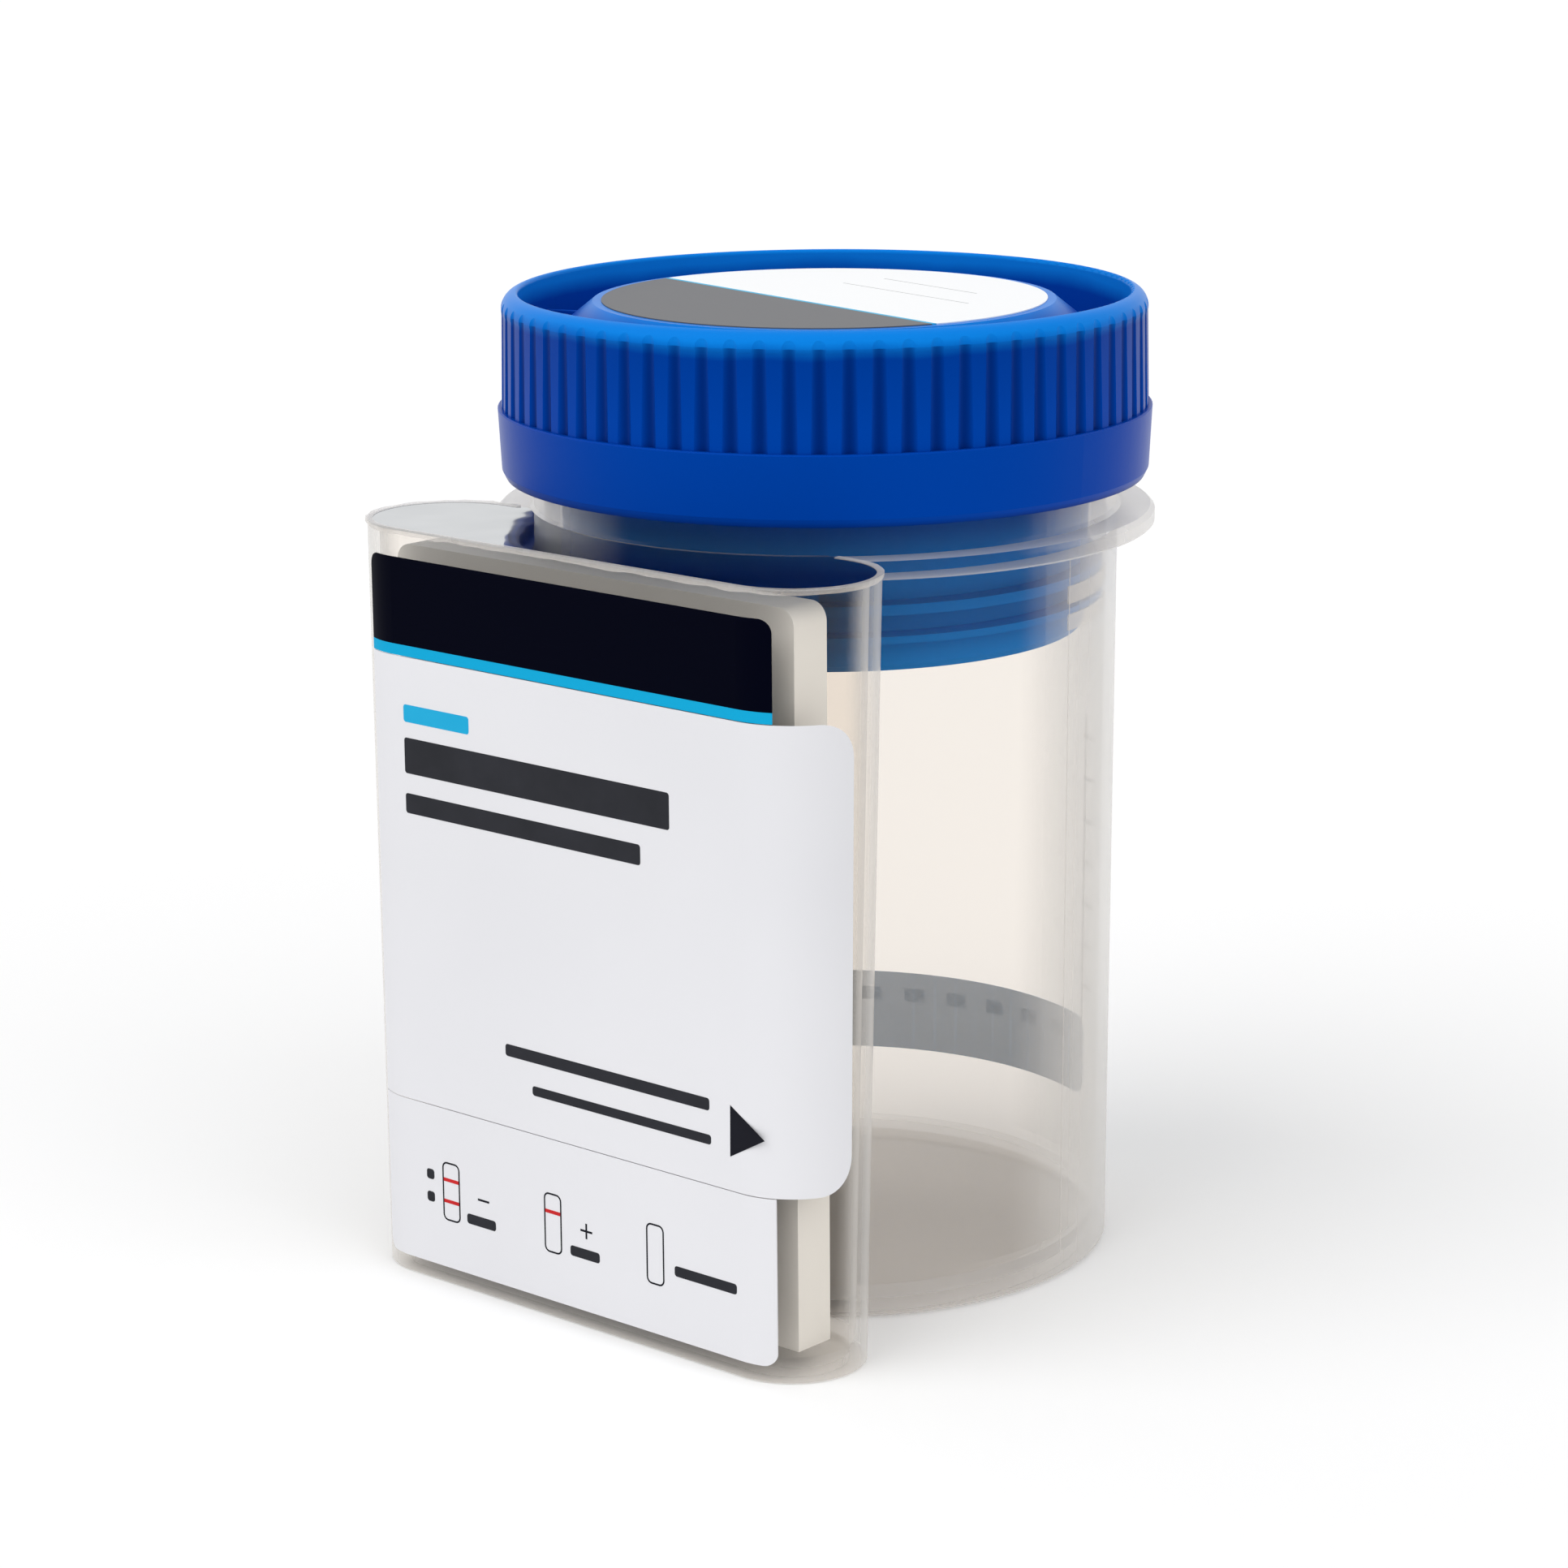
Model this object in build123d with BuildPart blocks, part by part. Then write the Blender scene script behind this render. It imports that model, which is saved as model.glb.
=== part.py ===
from build123d import *
import os
from math import atan, cos, degrees, radians, tan

# Drug test cup: a round screw-lid specimen cup with a flat strip compartment moulded on its front.
# Millimetres, +Z up, standing on Z = 0, compartment towards -Y.
# The cup's own axis is the Z axis.

# Cup
FOOT_R = 32.7  # outside radius at the foot
DRAFT = 0.4  # degrees by which the cup opens upwards
CUP_WALL = 1.2
CUP_FLOOR_Z = 2.9  # top of the floor inside
FLOOR_T = 1.4
FOOT_RIM = 1.9  # width of the rim under the foot
FOOT_CHAMFER = 0.4
FLOOR_FILLET = 1.5
FLANGE_R = 37.5
FLANGE_TOP = 86.8
FLANGE_T = 2.0
FLANGE_BEVEL = 0.5
NECK_R = 33.25
NECK_FILLET = 0.4
NECK_H = 14.9  # from the flange to the mouth
MOUTH_CHAMFER = 0.3

# Strip compartment
FRONT_REACH = 43.9  # from the cup's axis to the flat front
END_X = 25.75  # sideways from the cup's axis to the axis of each round end
TOP_END_R = 9.2
FOOT_END_R = 8.1
PANEL_WALL = 1.3
TRIM = 2.0  # extra height that is cut off again
CHAMBER_FLOOR_Z = 2.4
LAND_R = 34.0  # narrow land round the neck on which the film is welded
LAND_T = 1.4
SLOT_W = 8.0
SLOT_H = 5.0
SLOT_TURN = 18.0  # degrees between the slots
SLOT_COUNT = 3

# Screw thread between the neck and the lid
THREAD_STARTS = 4
THREAD_PITCH = 3.0
THREAD_TURN = 100.0  # degrees that one ridge runs
RIDGE_H = 1.25
RIDGE_ROOT = 1.3
RIDGE_CREST = 0.6
RIDGE_SINK = 0.25  # depth to which a ridge is rooted in its wall
NECK_THREAD_DROP = 8.0  # from the mouth down to where a neck ridge starts

# Lid
SEAL_T = 1.5
SEAL_CLEARANCE = 0.4
SEAL_WIDTH = 3.2
SKIRT_GAP = 1.75  # between the neck and the inside of the skirt
SKIRT_WALL = 1.65
WEB_T = 1.4
RIM_H = 6.6  # rim above the floor of the recess
RIM_WALL = 2.1
RIM_EDGE_R = 0.42
RIM_TAPER = 0.2
SHOULDER_H = 2.3
LID_H = 20.8
BAND_H = 7.9
BAND_STEP = 0.45
BAND_TAPER = 0.35
PLATEAU_R = 26.2
PLATEAU_DROP = 1.2  # below the rim's crest
CONE_ANGLE = 38.5
ROOF_T = 1.4
PLUG_GAP = 1.45  # between the neck's bore and the plug
PLUG_LENGTH = 30.0
PLUG_WALL = 1.3
PLUG_TAPER = 1.0
BEAD_CLEARANCE = 0.45
BEADS = ((3.8, 0.8), (7.1, 1.15))  # height above the plug's end and width of each sealing bead
BEAD_SLOPE = 0.35
FLUTE_COUNT = 72
FLUTE_R = 1.2
FLUTE_DEPTH = 0.45
RIB_COUNT = 4
RIB_ANGLE = 20.0
RIB_T = 1.0
RIB_H = 2.6

# Strip carrier and test strips
CARRIER_HALF_W = 29.6
CARRIER_T = 5.2
CARRIER_GAP = 0.7  # between the carrier and the cup's wall behind it
CARRIER_TOP_GAP = 2.6
CARRIER_CORNER_R = 2.0
STRIP_COUNT = 5
STRIP_PITCH = 10.8
STRIP_W = 4.0
STRIP_SIDE_GAP = 0.3
STRIP_LIFT = 1.6  # strip's lower end above the carrier's foot
CHANNEL_DEPTH = 2.2
CHANNEL_CAP = 2.6
CARD_T = 0.3
MEMBRANE_T = 0.15
PAD_T = 1.1
SAMPLE_PAD_L = 16.0
CONJUGATE_PAD_L = 7.0
MEMBRANE_L = 25.0
ABSORBENT_PAD_L = 26.0

# Labels and film
LABEL_T = 0.12
LABEL_HALF_W = 29.8
LABEL_CORNER_R = 1.5
HEADER_TOP = 83.8
HEADER_SEAM = 72.6
FOOTER_SEAM = 20.8
FOOTER_BOTTOM = 1.8
SEAM_GAP = 0.1
TAB_CORNER_R = 4.0
FILM_T = 0.15
FILM_NECK_GAP = 0.45
LID_LABEL_R = 25.2
TEMPERATURE_STRIP_Z = 11.5
TEMPERATURE_STRIP_H = 9.8
TEMPERATURE_STRIP_START = 62.0
TEMPERATURE_STRIP_TURN = 71.0
TEMPERATURE_STRIP_T = 0.15
TEMPERATURE_STRIP_CORNER_R = 2.0

# Places worked out from the sizes above
MOUTH_Z = FLANGE_TOP + NECK_H
BORE_R = NECK_R - CUP_WALL
WEB_Z = MOUTH_Z + SEAL_T
RECESS_Z = WEB_Z + WEB_T
RIM_TOP = RECESS_Z + RIM_H
PLATEAU_Z = RIM_TOP - PLATEAU_DROP
LID_BOTTOM = RIM_TOP - LID_H
BAND_TOP = LID_BOTTOM + BAND_H
SKIRT_R = NECK_R + SKIRT_GAP
GRIP_R = SKIRT_R + SKIRT_WALL
BAND_R = GRIP_R + BAND_STEP
RIM_IN_R = GRIP_R - RIM_WALL
PLUG_R = BORE_R - PLUG_GAP
PLUG_TIP_R = PLUG_R - PLUG_TAPER
PLUG_IN_R = PLUG_R - PLUG_WALL
PLUG_BOTTOM = WEB_Z - PLUG_LENGTH
THREAD_LEAD = THREAD_STARTS * THREAD_PITCH
CARRIER_BACK = LAND_R + CARRIER_GAP - (LAND_R - FOOT_R) / 2
CARRIER_FRONT = CARRIER_BACK + CARRIER_T
CARRIER_H = FLANGE_TOP - CARRIER_TOP_GAP - CHAMBER_FLOOR_Z

os.makedirs("parts", exist_ok=True)


def body_r(z):
    return FOOT_R + z * tan(radians(DRAFT))


def end_r(z):
    return FOOT_END_R + (TOP_END_R - FOOT_END_R) * z / FLANGE_TOP


def level(z):
    return Plane.XY.offset(z)


def facing_front(reach, z=0.0):
    """Upright plane that looks to the front: its x runs right and its y runs up."""
    return Plane((0, -reach, z), x_dir=(1, 0, 0), z_dir=(0, -1, 0))


def section_at(turn):
    """Upright plane through the cup's axis at that turn: its x is radius and its y is height."""
    return Plane.XZ.rotated((0, 0, turn))


def compartment_block(low, high, grow):
    """The compartment's solid between two heights, moved out by grow: a slab between two leaning cones."""
    lean = degrees(atan((TOP_END_R - FOOT_END_R) / FLANGE_TOP))
    below = low - TRIM
    above = high + TRIM
    with BuildPart() as block:
        with Locations((-END_X, end_r(below) - FRONT_REACH, below), (END_X, end_r(below) - FRONT_REACH, below)):
            Cone(
                end_r(below) + grow,
                end_r(above) + grow,
                (above - below) / cos(radians(lean)),
                rotation=(-lean, 0, 0),
                align=(Align.CENTER, Align.CENTER, Align.MIN),
            )
        with BuildSketch(Plane.YZ.offset(-END_X)):
            with BuildLine():
                Polyline(
                    (-FRONT_REACH - grow, below),
                    (2 * end_r(below) - FRONT_REACH + grow, below),
                    (2 * end_r(above) - FRONT_REACH + grow, above),
                    (-FRONT_REACH - grow, above),
                    close=True,
                )
            make_face()
        extrude(amount=2 * END_X)
        with Locations((0, 0, low)):
            Box(
                4 * FRONT_REACH,
                4 * FRONT_REACH,
                high - low,
                align=(Align.CENTER, Align.CENTER, Align.MIN),
                mode=Mode.INTERSECT,
            )
    return block.part


def save(piece, name):
    piece.part.label = name
    export_step(piece.part, f"parts/{name}.step")


def thread_ridge(radius, outward):
    """One screw ridge rooted in the wall of that radius, standing outwards for 1 and inwards for -1."""
    path = Helix(pitch=THREAD_LEAD, height=THREAD_LEAD * THREAD_TURN / 360, radius=radius)
    root = -RIDGE_SINK * outward
    crest = RIDGE_H * outward
    with BuildPart() as ridge:
        with BuildSketch(Plane(origin=path @ 0, x_dir=(1, 0, 0), z_dir=path % 0)):
            with BuildLine():
                Polyline(
                    (root, -RIDGE_ROOT / 2),
                    (crest, -RIDGE_CREST / 2),
                    (crest, RIDGE_CREST / 2),
                    (root, RIDGE_ROOT / 2),
                    close=True,
                )
            make_face()
        sweep(path=path, is_frenet=True)
    return ridge.part


neck_ridge = thread_ridge(NECK_R, 1)
lid_ridge = thread_ridge(SKIRT_R, -1)

# Space that the cup's round wall and the film's land fill, kept whole behind the compartment
with BuildPart() as round_wall:
    with BuildSketch(section_at(0)):
        with BuildLine():
            Polyline(
                (0, 0),
                (FOOT_R, 0),
                (body_r(FLANGE_TOP - LAND_T), FLANGE_TOP - LAND_T),
                (LAND_R, FLANGE_TOP - LAND_T / 2),
                (LAND_R, FLANGE_TOP),
                (0, FLANGE_TOP),
                close=True,
            )
        make_face()
    revolve(axis=Axis.Z)

compartment = compartment_block(0, FLANGE_TOP, 0)
label_skin = compartment_block(0, FLANGE_TOP, LABEL_T)

# Hollow of the compartment above its floor, and the shallow recess under that floor
with BuildPart() as chamber:
    add(compartment_block(CHAMBER_FLOOR_Z, FLANGE_TOP, -PANEL_WALL))
    add(compartment_block(0, CHAMBER_FLOOR_Z - FLOOR_T, -FOOT_RIM))
    add(round_wall.part, mode=Mode.SUBTRACT)

# Cup with its compartment, flange, threaded neck and the slots that let the sample through
with BuildPart() as cup_body:
    add(compartment)
    with BuildSketch(section_at(0)):
        with BuildLine():
            Polyline(
                (0, 0),
                (FOOT_R - FOOT_CHAMFER, 0),
                (body_r(FOOT_CHAMFER), FOOT_CHAMFER),
                (body_r(FLANGE_TOP - FLANGE_T), FLANGE_TOP - FLANGE_T),
                (FLANGE_R - FLANGE_BEVEL / 2, FLANGE_TOP - FLANGE_T),
                (FLANGE_R, FLANGE_TOP - FLANGE_T + FLANGE_BEVEL / 2),
                (FLANGE_R, FLANGE_TOP - FLANGE_BEVEL),
                (FLANGE_R - FLANGE_BEVEL, FLANGE_TOP),
                (NECK_R + NECK_FILLET, FLANGE_TOP),
                (NECK_R, FLANGE_TOP + NECK_FILLET),
                (NECK_R, MOUTH_Z - MOUTH_CHAMFER),
                (NECK_R - MOUTH_CHAMFER, MOUTH_Z),
                (0, MOUTH_Z),
                close=True,
            )
        make_face()
    revolve(axis=Axis.Z)
    add(chamber.part, mode=Mode.SUBTRACT)
    with Locations((0, 0, MOUTH_Z - NECK_THREAD_DROP)):
        for start in range(THREAD_STARTS):
            add(neck_ridge, rotation=(0, 0, start * 360 / THREAD_STARTS))
    with BuildSketch(section_at(0)):
        with BuildLine():
            Polyline(
                (0, CUP_FLOOR_Z),
                (body_r(CUP_FLOOR_Z) - CUP_WALL - FLOOR_FILLET, CUP_FLOOR_Z),
                (body_r(CUP_FLOOR_Z) - CUP_WALL - FLOOR_FILLET / 4, CUP_FLOOR_Z + FLOOR_FILLET / 4),
                (body_r(CUP_FLOOR_Z) - CUP_WALL, CUP_FLOOR_Z + FLOOR_FILLET),
                (BORE_R, FLANGE_TOP),
                (BORE_R, MOUTH_Z - MOUTH_CHAMFER),
                (BORE_R + 2 * MOUTH_CHAMFER, MOUTH_Z + MOUTH_CHAMFER),
                (0, MOUTH_Z + MOUTH_CHAMFER),
                close=True,
            )
        make_face()
    revolve(axis=Axis.Z, mode=Mode.SUBTRACT)
    with BuildSketch(level(0)):
        Circle(FOOT_R - FOOT_RIM)
    extrude(amount=CUP_FLOOR_Z - FLOOR_T, mode=Mode.SUBTRACT)
    slot_z = CUP_FLOOR_Z + FLOOR_FILLET + SLOT_H / 2
    for slot in range(SLOT_COUNT):
        slot_turn = (slot - (SLOT_COUNT - 1) / 2) * SLOT_TURN
        with BuildSketch(facing_front(0, slot_z).rotated((0, slot_turn, 0))):
            RectangleRounded(SLOT_W, SLOT_H, SLOT_H / 4)
        extrude(amount=FOOT_R + CUP_WALL, mode=Mode.SUBTRACT)
save(cup_body, "cup_body")

# Lid: rim and skirt outside, plateau under the label, sealing plug inside
with BuildPart() as lid:
    slope = tan(radians(CONE_ANGLE))
    cone_r = PLATEAU_R + (PLATEAU_Z - RECESS_Z) / slope
    roof_z = PLATEAU_Z - ROOF_T
    cone_t = ROOF_T / cos(radians(CONE_ANGLE))  # the cone's thickness measured upright
    roof_r = PLATEAU_R - (cone_t - ROOF_T) / slope
    shoulder_z = PLATEAU_Z - cone_t - (PLUG_IN_R - PLATEAU_R) * slope
    crest_r = RIM_IN_R + RIM_EDGE_R
    edge_inset = RIM_EDGE_R * (1 - cos(radians(45)))
    with BuildSketch(section_at(0)):
        with BuildLine():
            Polyline(
                (0, roof_z),
                (0, PLATEAU_Z),
                (PLATEAU_R, PLATEAU_Z),
                (cone_r, RECESS_Z),
                (RIM_IN_R - RIM_TAPER, RECESS_Z),
                (RIM_IN_R, RIM_TOP - RIM_EDGE_R),
            )
            ThreePointArc(
                (RIM_IN_R, RIM_TOP - RIM_EDGE_R),
                (RIM_IN_R + edge_inset, RIM_TOP - edge_inset),
                (crest_r, RIM_TOP),
            )
            ThreePointArc(
                (crest_r, RIM_TOP),
                (GRIP_R - SHOULDER_H / 4, RIM_TOP - SHOULDER_H * 0.3),
                (GRIP_R - RIM_TAPER, RIM_TOP - SHOULDER_H),
            )
            Polyline(
                (GRIP_R - RIM_TAPER, RIM_TOP - SHOULDER_H),
                (GRIP_R, BAND_TOP),
                (BAND_R - BAND_STEP / 3, BAND_TOP),
                (BAND_R, BAND_TOP - BAND_STEP / 3),
                (BAND_R - BAND_TAPER, LID_BOTTOM + 2 * BAND_STEP),
                (BAND_R - BAND_TAPER - BAND_STEP, LID_BOTTOM),
                (SKIRT_R + BAND_STEP, LID_BOTTOM),
                (SKIRT_R, LID_BOTTOM + BAND_STEP),
                (SKIRT_R, WEB_Z),
                (PLUG_R, WEB_Z),
                (PLUG_TIP_R, PLUG_BOTTOM + PLUG_WALL / 2),
                (PLUG_TIP_R - PLUG_WALL / 4, PLUG_BOTTOM),
                (PLUG_TIP_R - PLUG_WALL, PLUG_BOTTOM),
                (PLUG_IN_R, shoulder_z),
                (roof_r, roof_z),
                (0, roof_z),
            )
        make_face()
    revolve(axis=Axis.Z)
    with BuildSketch(section_at(0)):
        for bead_height, bead_w in BEADS:
            bead_z = PLUG_BOTTOM + bead_height
            bead_root_r = PLUG_TIP_R - PLUG_WALL / 2
            bead_r = BORE_R - BEAD_CLEARANCE
            with BuildLine():
                Polyline(
                    (bead_root_r, bead_z - bead_w / 2 - BEAD_SLOPE),
                    (bead_r, bead_z - bead_w / 2),
                    (bead_r, bead_z + bead_w / 2),
                    (bead_root_r, bead_z + bead_w / 2 + BEAD_SLOPE),
                    close=True,
                )
            make_face()
    revolve(axis=Axis.Z)
    with BuildSketch(level(BAND_TOP)):
        with PolarLocations(GRIP_R - FLUTE_DEPTH + FLUTE_R, FLUTE_COUNT):
            Circle(FLUTE_R)
    extrude(amount=RIM_TOP - BAND_TOP, mode=Mode.SUBTRACT)
    with BuildSketch(level(RECESS_Z)):
        with PolarLocations(RIM_IN_R - (RIM_IN_R - PLATEAU_R) / 2, RIB_COUNT, start_angle=RIB_ANGLE):
            Rectangle(RIM_IN_R - PLATEAU_R + RIM_EDGE_R, RIB_T)
    extrude(amount=RIB_H)
    with Locations((0, 0, MOUTH_Z - NECK_THREAD_DROP - THREAD_PITCH / 2)):
        for start in range(THREAD_STARTS):
            add(lid_ridge, rotation=(0, 0, start * 360 / THREAD_STARTS))
save(lid, "lid")

# Soft ring that the lid presses on the mouth of the cup
with BuildPart() as sealing_ring:
    with BuildSketch(level(MOUTH_Z)):
        Circle(PLUG_R + SEAL_CLEARANCE + SEAL_WIDTH)
        Circle(PLUG_R + SEAL_CLEARANCE, mode=Mode.SUBTRACT)
    extrude(amount=SEAL_T)
save(sealing_ring, "sealing_ring")

with BuildPart() as lid_label:
    with BuildSketch(level(PLATEAU_Z)):
        Circle(LID_LABEL_R)
    extrude(amount=LABEL_T)
save(lid_label, "lid_label")

# Film welded on the compartment's top rim and on the land beside the neck
with BuildPart() as compartment_film:
    with BuildSketch(level(FLANGE_TOP)):
        with Locations((0, TOP_END_R - FRONT_REACH)):
            SlotCenterToCenter(2 * END_X, 2 * TOP_END_R)
        Circle(NECK_R + FILM_NECK_GAP, mode=Mode.SUBTRACT)
    extrude(amount=FILM_T)
save(compartment_film, "compartment_film")

# Strip carrier: a plate that stands in the compartment, with one channel for each strip
with BuildPart() as strip_carrier:
    with BuildSketch(facing_front(CARRIER_FRONT, CHAMBER_FLOOR_Z)):
        Rectangle(2 * CARRIER_HALF_W, CARRIER_H, align=(Align.CENTER, Align.MIN))
    extrude(amount=-CARRIER_T)
    top_corners = strip_carrier.edges().filter_by(Axis.Y).group_by(Axis.Z)[-1]
    fillet(top_corners, CARRIER_CORNER_R)
    with BuildSketch(facing_front(CARRIER_FRONT, CHAMBER_FLOOR_Z)):
        with Locations((0, (CARRIER_H - CHANNEL_CAP) / 2)):
            with GridLocations(STRIP_PITCH, 0, STRIP_COUNT, 1):
                Rectangle(STRIP_W + 2 * STRIP_SIDE_GAP, CARRIER_H - CHANNEL_CAP)
    extrude(amount=-CHANNEL_DEPTH, mode=Mode.SUBTRACT)
save(strip_carrier, "strip_carrier")


def strip_layer(name, strip, z, length, depth, thickness):
    """One flat layer of a test strip, with its back at that depth in the strip's channel."""
    x = (strip - (STRIP_COUNT - 1) / 2) * STRIP_PITCH
    with BuildPart() as layer:
        with BuildSketch(facing_front(CARRIER_FRONT - depth, z)):
            with Locations((x, 0)):
                Rectangle(STRIP_W, length, align=(Align.CENTER, Align.MIN))
        extrude(amount=thickness)
    save(layer, f"{name}_{strip + 1}")


LAYERS = (
    ("sample_pad", SAMPLE_PAD_L, PAD_T),
    ("conjugate_pad", CONJUGATE_PAD_L, PAD_T),
    ("membrane", MEMBRANE_L, MEMBRANE_T),
    ("absorbent_pad", ABSORBENT_PAD_L, PAD_T),
)
card_length = sum(length for name, length, thickness in LAYERS)
for strip in range(STRIP_COUNT):
    layer_z = CHAMBER_FLOOR_Z + STRIP_LIFT
    strip_layer("backing_card", strip, layer_z, card_length, CHANNEL_DEPTH, CARD_T)
    for name, length, thickness in LAYERS:
        strip_layer(name, strip, layer_z, length, CHANNEL_DEPTH - CARD_T, thickness)
        layer_z += length


def front_label(name, low, high, rounded):
    """Label of the common width that bends a little round both ends of the compartment."""
    with BuildPart() as label:
        add(label_skin)
        add(compartment, mode=Mode.SUBTRACT)
        with BuildSketch(facing_front(FRONT_REACH + LABEL_T, low)) as outline:
            Rectangle(2 * LABEL_HALF_W, high - low, align=(Align.CENTER, Align.MIN))
            fillet(outline.vertices().group_by(Axis.Y)[rounded], LABEL_CORNER_R)
        extrude(amount=-FOOT_END_R, mode=Mode.INTERSECT)
    save(label, name)


front_label("label_header", HEADER_SEAM + SEAM_GAP, HEADER_TOP, -1)
front_label("label_footer", FOOTER_BOTTOM, FOOTER_SEAM, 0)

# Peel label: in line with the others at the left, its tab goes round the right end
with BuildPart() as peel_label:
    add(label_skin)
    add(compartment, mode=Mode.SUBTRACT)
    tab_side = END_X + TOP_END_R + PANEL_WALL
    peel_z = FOOTER_SEAM + SEAM_GAP
    with BuildSketch(Plane((tab_side, FOOT_END_R - FRONT_REACH, peel_z), x_dir=(0, -1, 0), z_dir=(-1, 0, 0))) as tab:
        Rectangle(FOOT_END_R + PANEL_WALL, HEADER_SEAM - peel_z, align=(Align.MIN, Align.MIN))
        fillet(tab.vertices().group_by(Axis.X)[0], TAB_CORNER_R)
    extrude(amount=LABEL_HALF_W + tab_side, mode=Mode.INTERSECT)
save(peel_label, "peel_label")

# Temperature strip on the outside of the cup, near its foot and at the back
with BuildPart() as temperature_strip:
    strip_top = TEMPERATURE_STRIP_Z + TEMPERATURE_STRIP_H
    with BuildSketch(section_at(TEMPERATURE_STRIP_START)):
        with BuildLine():
            Polyline(
                (body_r(TEMPERATURE_STRIP_Z), TEMPERATURE_STRIP_Z),
                (body_r(TEMPERATURE_STRIP_Z) + TEMPERATURE_STRIP_T, TEMPERATURE_STRIP_Z),
                (body_r(strip_top) + TEMPERATURE_STRIP_T, strip_top),
                (body_r(strip_top), strip_top),
                close=True,
            )
        make_face()
    revolve(axis=Axis.Z, revolution_arc=TEMPERATURE_STRIP_TURN)
    corners = temperature_strip.edges().filter_by(lambda edge: edge.length < 2 * TEMPERATURE_STRIP_T)
    fillet(corners, TEMPERATURE_STRIP_CORNER_R)
save(temperature_strip, "temperature_strip")
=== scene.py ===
import math

import bmesh
import bpy
from mathutils import Matrix, Vector, noise


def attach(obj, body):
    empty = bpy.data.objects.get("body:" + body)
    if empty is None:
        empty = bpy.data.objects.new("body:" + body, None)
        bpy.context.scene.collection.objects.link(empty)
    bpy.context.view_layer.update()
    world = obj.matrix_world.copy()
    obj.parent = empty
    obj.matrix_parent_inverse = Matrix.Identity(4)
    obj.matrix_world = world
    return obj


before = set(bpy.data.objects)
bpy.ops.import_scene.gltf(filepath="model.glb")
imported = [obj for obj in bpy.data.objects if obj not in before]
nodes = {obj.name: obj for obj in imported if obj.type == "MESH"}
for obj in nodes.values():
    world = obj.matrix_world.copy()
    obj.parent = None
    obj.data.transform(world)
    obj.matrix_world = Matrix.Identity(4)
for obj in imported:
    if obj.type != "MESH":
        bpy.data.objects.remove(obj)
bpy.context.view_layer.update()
MM = 0.001

# Sizes of the solids that the pieces here lie on, in millimetres
FOOT_R = 32.7
DRAFT = math.tan(math.radians(0.4))
CUP_WALL = 1.2
FRONT_REACH = 43.9
LABEL_T = 0.12
FRONT_Y = -FRONT_REACH - LABEL_T  # outer face of the front labels
FLANGE_TOP = 86.8
FILM_T = 0.15
END_X = 25.75  # middle of the compartment's round end
TOP_END_R = 9.2
PLATEAU_Z = 110.0
PLUG_BOTTOM = 73.2
LID_TOP = 111.2
GROOVE_R = 36.2  # bottom of the grip's grooves
GROOVE_REACH = 0.4  # how far from it their painted shade goes
SHOULDER_Z = 109.4  # the grooves and their painted shade run out below this
STRIPE_TOP = 73.94  # upper edge of the light blue stripe on the header

# Camera at the photograph's angle, in metres and degrees
CAMERA_PLACE = (0.3244, -0.3743, 0.1765)
CAMERA_TURN = 41.49
CAMERA_DOWN = 13.95
CAMERA_ROLL = -0.43
CAMERA_LENS = 101.0

# Lid's label: the line between grey and white, and how far it is turned
LABEL_TURN = 11.7
GREY_BORDER = -4.35
BORDER_STRIPE = 0.55

# Lid's blue by height, from the plug's end to the rim's crest, with painted light: lighter at the thin plug's
# end and at the crest
LID_BLUES_AND_PAINTED_LIGHT = (
    (0.03, (0.003, 0.20, 0.60)),
    (0.38, (0.0012, 0.115, 0.42)),
    (0.48, (0.0002, 0.050, 0.37)),
    (0.95, (0.0002, 0.053, 0.38)),
    (1.0, (0.004, 0.21, 0.72)),
)
STRIPE_BLUE = (0.008, 0.40, 0.70)


def body_radius(z):
    return FOOT_R + z * DRAFT


def place_camera():
    camera_data = bpy.data.cameras.new("camera")
    camera_data.sensor_width = 36.0
    camera_data.lens = CAMERA_LENS
    camera_data.clip_start = 0.01
    camera_data.clip_end = 20.0
    camera = bpy.data.objects.new("camera", camera_data)
    bpy.context.scene.collection.objects.link(camera)
    turn = Matrix.Rotation(math.radians(CAMERA_TURN), 4, "Z")
    tilt = Matrix.Rotation(math.radians(90.0 - CAMERA_DOWN), 4, "X")
    roll = Matrix.Rotation(math.radians(CAMERA_ROLL), 4, "Z")
    camera.matrix_world = Matrix.Translation(CAMERA_PLACE) @ turn @ tilt @ roll
    bpy.context.scene.camera = camera


# Materials
def shader_tree(name):
    material = bpy.data.materials.new(name)
    material.use_nodes = True
    tree = material.node_tree
    return material, tree, tree.nodes["Principled BSDF"]


def add_node(tree, kind, **values):
    node = tree.nodes.new(kind)
    for key, value in values.items():
        setattr(node, key, value)
    return node


def object_noise(tree, scale, detail=3.0):
    where = add_node(tree, "ShaderNodeTexCoord")
    grain = add_node(tree, "ShaderNodeTexNoise")
    grain.inputs["Scale"].default_value = scale
    grain.inputs["Detail"].default_value = detail
    tree.links.new(where.outputs["Object"], grain.inputs["Vector"])
    return grain


def set_stops(ramp, stops):
    elements = ramp.color_ramp.elements
    elements[0].position = stops[0][0]
    elements[1].position = stops[-1][0]
    elements[0].color = (*stops[0][1], 1.0)
    elements[1].color = (*stops[-1][1], 1.0)
    for position, colour in stops[1:-1]:
        elements.new(position).color = (*colour, 1.0)


def vary_colour(tree, shader, grain, low, high):
    ramp = add_node(tree, "ShaderNodeValToRGB")
    set_stops(ramp, ((0.3, low), (0.7, high)))
    tree.links.new(grain.outputs["Fac"], ramp.inputs["Fac"])
    tree.links.new(ramp.outputs["Color"], shader.inputs["Base Color"])


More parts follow.
